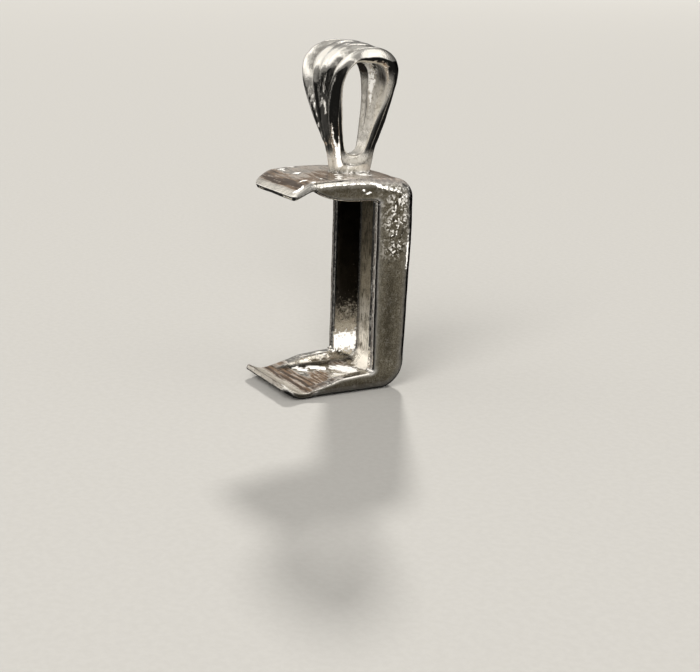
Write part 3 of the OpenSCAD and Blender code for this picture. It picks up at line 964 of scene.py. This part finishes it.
silverFinish = {
    "polished": (0.90, 0.865, 0.80, 1),
    "satin": (0.185, 0.162, 0.115, 1),
    "satinLight": (0.36, 0.325, 0.25, 1),
    # also the colour of painted shade
    "satinDark": (0.07, 0.059, 0.04, 1),
    "raw": (0.36, 0.31, 0.23, 1),
    "pale": (0.76, 0.72, 0.65, 1),
    "brown": (0.088, 0.049, 0.022, 1),
    "umber": (0.025, 0.014, 0.007, 1),
    # the blackened tone: tarnish, and also painted shade and a painted dark reflection
    "oxideAndShade": (0.03, 0.027, 0.024, 1),
    # white of worn metal, also used for painted highlights and glints
    "bareAndHighlight": (0.95, 0.93, 0.90, 1),
    "polishedRoughness": 0.06,
    "satinRoughness": 0.42,
    "speckRoughness": 0.32,
    "brushedRoughness": 0.3,
    "specular": 0.2,
    "cloud": (1.1, 4, 0.6),  # noises: lumps per mm, detail and roughness
    "ripple": (2.2, 2, 0.45),
    "mottle": (4.5, 5, 0.65),
    "grain": (14.0, 4, 0.6),
    "patch": (1.6, 2, 0.5),
    "fileMarks": (3.0, 4, 0.6),
    "filePull": (3.0, 3.0, 0.5),  # stretched into long marks up the sides
    "fibres": (1.3, 4, 0.6),
    "fibrePull": (0.35, 3.2, 3.2),  # into streaks across the arms
    "fluteGlints": (1.9, 3, 0.6),
    "sliverPull": (4.0, 4.0, 0.9),  # down the flutes
    "facets": 6.6,  # crumpled facets per mm
    "facetBend": (0.4, 0.4, 0.4),  # mm by which their outlines are bent
    "facetBends": 3.5,  # bends per mm
}


def crumpled(w, place):
    # bent cells, each with a brightness of its own from 0 to 1
    f = silverFinish
    bent = w.node("ShaderNodeTexNoise", {}, {"Vector": place, "Scale": f["facetBends"], "Detail": 2.0},
                  out="Color")
    bent = w.node("ShaderNodeVectorMath", {"operation": "MULTIPLY_ADD"},
                  {0: bent, 1: f["facetBend"], 2: place})
    cells = w.node("ShaderNodeTexVoronoi", {}, {"Vector": bent, "Scale": f["facets"]}, out="Color")
    return w.node("ShaderNodeSeparateXYZ", {}, {0: cells}, out="X")


def silverMaterial():
    material, w, shader = newMaterial("oldSilver")
    f = silverFinish
    place = w.stretched(w.node("ShaderNodeTexCoord", out="Object"), (1000, 1000, 1000))  # mm
    satin, brown, line = w.attribute("satin"), w.attribute("brown"), w.attribute("line")
    hollow, edge, pitted = w.attribute("hollow"), w.attribute("edge"), w.attribute("pitted")
    # the speck mask holds painted glints; the shade mask holds painted shade
    oxideAndShade, shade, speck = w.attribute("oxideAndShade"), w.attribute("shade"), w.attribute("speck")
    raw, pale, cast = w.attribute("raw"), w.attribute("pale"), w.attribute("cast")
    # of these three, the last two hold painted highlights
    brushed, paintedHighlight, fluteHighlight = w.attribute("brushed"), w.attribute("paintedHighlight"), w.attribute("fluteHighlight")
    cloud, ripple = w.noise(place, *f["cloud"]), w.noise(place, *f["ripple"])
    mottle, grain = w.noise(place, *f["mottle"]), w.noise(place, *f["grain"])
    draws = w.noise(w.stretched(place, f["filePull"]), *f["fileMarks"])
    fibres = w.noise(w.stretched(place, f["fibrePull"]), *f["fibres"])

    # the crumpled patch: painted glints on some facets and painted shade on others
    facet = crumpled(w, place)
    patch = w.noise(place, *f["patch"]).step(0.40, 0.50) * pitted
    facetGlints = facet.step(0.5, 0.95) * patch * (0.35 + grain * 0.9)
    facetShade = (1 - facet.step(0.12, 0.3)) * patch
    fluteGlints = w.noise(w.stretched(place, f["sliverPull"]), *f["fluteGlints"]).step(0.52, 0.58) * fluteHighlight

    # masks of the stains, of tarnish and painted shade, and of the painted highlights and glints, with
    # ragged edges
    stain = brown * (0.3 + cloud.step(0.25, 0.55) * 0.3 + mottle.step(0.30, 0.62) * 0.25)
    stain = (stain + brown * fibres.step(0.36, 0.54) * 0.6).clamped()
    dark = (line * mottle.step(0.22, 0.50) * 0.8 + line * fibres.step(0.40, 0.60) * 0.6
            + brown * fibres.step(0.52, 0.64) * 0.9).clamped()
    tarnishAndShade = (hollow * grain.step(0.25, 0.6)).clamped()
    crustAndShade = (oxideAndShade * 1.2 + (mottle - 0.5) * 1.8 + (grain - 0.5) * 1.2).step(0.20, 0.90)
    crustAndShade = crustAndShade * oxideAndShade.step(0.0, 0.15)
    ragged = (mottle - 0.5) * 2.6 + (grain - 0.5) * 1.4
    # painted highlights and glints, broken up by noise
    bright = (speck * 1.15 + paintedHighlight * 1.25 + ragged).step(0.5, 0.85) * (speck + paintedHighlight).step(0.0, 0.3)
    highlightSpots = (bright + facetGlints + fluteGlints).clamped()
    dull = (satin + raw * 0.8).clamped()

    # colours laid over one another, from the metal up
    colour = w.blend(satin, f["polished"], f["satin"])
    colour = w.blend(raw, colour, f["raw"])
    clouded = pale * (0.5 + cloud.step(0.36, 0.56) * 0.4) + brushed * 0.7
    colour = w.blend(clouded.clamped(), colour, f["pale"])
    patchy = (brushed - pale).clamped() * (1 - mottle.step(0.36, 0.52)) * 0.6
    colour = w.blend(patchy, colour, f["satinLight"])
    light = mottle.step(0.48, 0.64) * 0.35 + grain.step(0.50, 0.60) * 0.45
    colour = w.blend((dull * light).clamped(), colour, f["satinLight"])
    darker = (1 - draws.step(0.30, 0.50)) * 0.3 + (1 - grain.step(0.38, 0.50)) * 0.6
    darker = darker + raw * ((1 - cloud.step(0.38, 0.55)) * 0.4 + (1 - draws.step(0.36, 0.50)) * 0.6)
    # darker satin: random tone, with painted shade and the painted shade of the crumpled facets
    colour = w.blend((dull * darker + shade * 0.8 + facetShade).clamped(), colour, f["satinDark"])
    colour = w.blend(stain * 0.97, colour, f["brown"])
    # dark lines in umber, some of them painted shade and a painted dark reflection
    colour = w.blend(dark, colour, f["umber"])
    # blackened: tarnish in hollows and on the rails, with painted shade and a painted dark reflection on the
    # back edge
    colour = w.blend((tarnishAndShade * 0.85 + crustAndShade).clamped(), colour, f["oxideAndShade"])
    # whitened: worn edges, painted highlights and glints
    w.blend((edge + highlightSpots).clamped(), colour, f["bareAndHighlight"]).into(shader.inputs["Base Color"])

    polished = f["polishedRoughness"]
    rough = polished + dull * (f["satinRoughness"] - polished) + stain * 0.03 + dark * 0.06 + tarnishAndShade * 0.25
    rough = rough + brushed * (1 - dull) * (f["brushedRoughness"] - polished)
    rough = rough * (1 - highlightSpots) + highlightSpots * f["speckRoughness"] + (mottle - 0.5) * 0.08
    rough.clamped().into(shader.inputs["Roughness"])
    metal = (1.0 - satin * 0.25 - raw * 0.6 - stain.step(0.35, 0.9) * 0.95 - dark.step(0.4, 0.9)
             - highlightSpots - brushed * 0.35)
    metal.clamped().into(shader.inputs["Metallic"])

    # heights in mm: soft ripples of the casting, mottles, grain, file marks, specks and facets
    relief = ((ripple - 0.5) * (0.04 - 0.02 * brown - 0.018 * cast)
              + (mottle - 0.5) * (0.007 - 0.005 * pale + dull * 0.016)
              + (grain - 0.5) * (0.001 + (dull + brushed) * 0.009)
              + (draws - 0.5) * (dull * 0.01 + cast * 0.012)
              - highlightSpots * 0.012 + facet * pitted * 0.03)
    bump = w.node("ShaderNodeBump", {}, {"Strength": 1.0, "Distance": 0.001, "Height": relief})
    bump.into(shader.inputs["Normal"])
    shader.inputs["Specular IOR Level"].default_value = f["specular"]
    return material


setting.data.materials.clear()
setting.data.materials.append(silverMaterial())
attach(setting, "root")
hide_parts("setting")
print("silver done")


stage = {
    "paper": ((0.294, 0.287, 0.274, 1), (0.306, 0.299, 0.286, 1)),  # its two mottled tones
    "paperGrain": 2500.0,
    "paperRoughness": 0.95,
    "paperSpecular": 0.1,
    "floorHalf": 1.5,
    "light": (1.0, 0.98, 0.94),
    "lamps": [  # azimuth, height, distance, size and power
        (240, 33, 3.0, 0.3, 140.0),
        (35, 42, 3.0, 1.8, 90.0),
        (66, 16, 3.0, 0.9, 60.0)],
    "aim": 0.010,  # height that the lamps are turned to
    "wall": 0.20,  # the room's own light over the horizon, more of it upwards, and the least
    "sky": 0.12,
    "dark": 0.01,
    "panels": [  # what the silver mirrors: azimuth, height, bright and whole radius in degrees, strength
        (336, -15, 3, 9, 0.6), (300, 36, 24, 36, 0.75), (141, 52, 18, 24, 0.8), (0, 80, 10, 16, 0.3),
        (62, 18, 8, 18, 0.35), (126, 32, 14, 24, 0.4), (200, 62, 14, 24, 0.2), (350, 44, 10, 34, 0.8),
        (35, 42, 8, 22, 0.5), (240, 33, 4, 12, 1.6), (120, 0, 10, 18, 0.35), (205, 25, 10, 40, -0.16),
        (300, -14, 15, 60, 0.014), (60, -15, 10, 30, 0.04), (305, -26, 6, 14, 0.3)],
}


def wayTo(azimuth, height):
    # unit vector: azimuth 0 is -Y and 90 is +X, as in the frame's views
    a, e = math.radians(azimuth), math.radians(height)
    return np.array([math.sin(a) * math.cos(e), -math.cos(a) * math.cos(e), math.sin(e)])


def floorPlane():
    # a square grid of two by two points at z = 0
    side = np.array([-1, 1]) * stage["floorHalf"]
    x, y = np.meshgrid(side, side, indexing="xy")
    grid = np.stack([x, y, np.zeros_like(x)], -1)
    plane = meshOf("floor", grid.reshape(-1, 3), np.array([[0, 1, 3, 2]]))
    material, w, shader = newMaterial("palePaper")
    speck = w.noise(w.node("ShaderNodeTexCoord", out="Object"), stage["paperGrain"], 3, 0.6)
    w.blend(speck.step(0.3, 0.7), *stage["paper"]).into(shader.inputs["Base Color"])
    shader.inputs["Roughness"].default_value = stage["paperRoughness"]
    shader.inputs["Specular IOR Level"].default_value = stage["paperSpecular"]
    plane.data.materials.append(material)
    plane.visible_glossy = False  # the silver mirrors the dark room below it, as in the photo


def roomLight():
    # a dark room, a little lighter upwards, with soft round panels of light or shade
    world = bpy.data.worlds.new("room")
    bpy.context.scene.world = world
    world.use_nodes = True
    w = Wire(world.node_tree)
    way = w.node("ShaderNodeTexCoord", out="Generated")
    height = w.node("ShaderNodeSeparateXYZ", {}, {0: way}, out="Z")
    level = height.step(-0.05, 0.05) * stage["wall"] + height.step(0.0, 0.9) * stage["sky"] + stage["dark"]
    for azimuth, rise, inner, outer, power in stage["panels"]:
        towards = w.node("ShaderNodeVectorMath", {"operation": "DOT_PRODUCT"},
                         {0: way, 1: tuple(wayTo(azimuth, rise))}, out="Value")
        level = level + towards.step(math.cos(math.radians(outer)), math.cos(math.radians(inner))) * power
    shade = world.node_tree.nodes["Background"]
    w.maths("MAXIMUM", level, 0.0).into(shade.inputs["Strength"])
    shade.inputs["Color"].default_value = (*stage["light"], 1)


def softLamp(azimuth, height, distance, size, power):
    # a round panel turned towards the object
    lamp = bpy.data.lights.new("softLamp", "AREA")
    lamp.shape, lamp.size, lamp.energy = "DISK", size, power
    lamp.color = stage["light"]
    holder = bpy.data.objects.new("softLamp", lamp)
    holder.visible_glossy = False  # the silver mirrors the soft panels of the room instead
    bpy.context.scene.collection.objects.link(holder)
    way = wayTo(azimuth, height)
    side = np.cross([0, 0, 1], way)
    side /= np.linalg.norm(side)
    turn = np.eye(4)
    turn[:3, :3] = np.stack([side, np.cross(way, side), way], 1)
    turn[:3, 3] = way * distance + [0, 0, stage["aim"]]
    holder.matrix_world = Matrix(turn.tolist())


photo = {  # found by fitting the model's outline to the photo
    "eye": (0.078773, -0.042407, 0.028060),
    "azimuth": 60.776,
    "height": 15.606,
    "roll": 1.775,
    "focal": 1438.195,  # in pixels of the photo
    "pixels": 700,  # its width
    "sensor": 36,
    "clip": (0.005, 10),
}


def photoCamera():
    a, r = math.radians(photo["azimuth"]), math.radians(photo["roll"])
    back = wayTo(photo["azimuth"], photo["height"])
    right = np.array([math.cos(a), math.sin(a), 0])
    up = np.cross(back, right)
    turn = np.eye(4)
    turn[:3, 0] = math.cos(r) * right + math.sin(r) * up
    turn[:3, 1] = -math.sin(r) * right + math.cos(r) * up
    turn[:3, 2] = back
    turn[:3, 3] = photo["eye"]
    lens = bpy.data.cameras.new("camera")
    lens.sensor_width = photo["sensor"]
    lens.lens = photo["sensor"] * photo["focal"] / photo["pixels"]
    lens.clip_start, lens.clip_end = photo["clip"]
    holder = bpy.data.objects.new("camera", lens)
    bpy.context.scene.collection.objects.link(holder)
    holder.matrix_world = Matrix(turn.tolist())
    bpy.context.scene.camera = holder


floorPlane()
roomLight()
for lamp in stage["lamps"]:
    softLamp(*lamp)
photoCamera()
bpy.context.scene.view_settings.view_transform = "Standard"
print("stage, light and camera done")
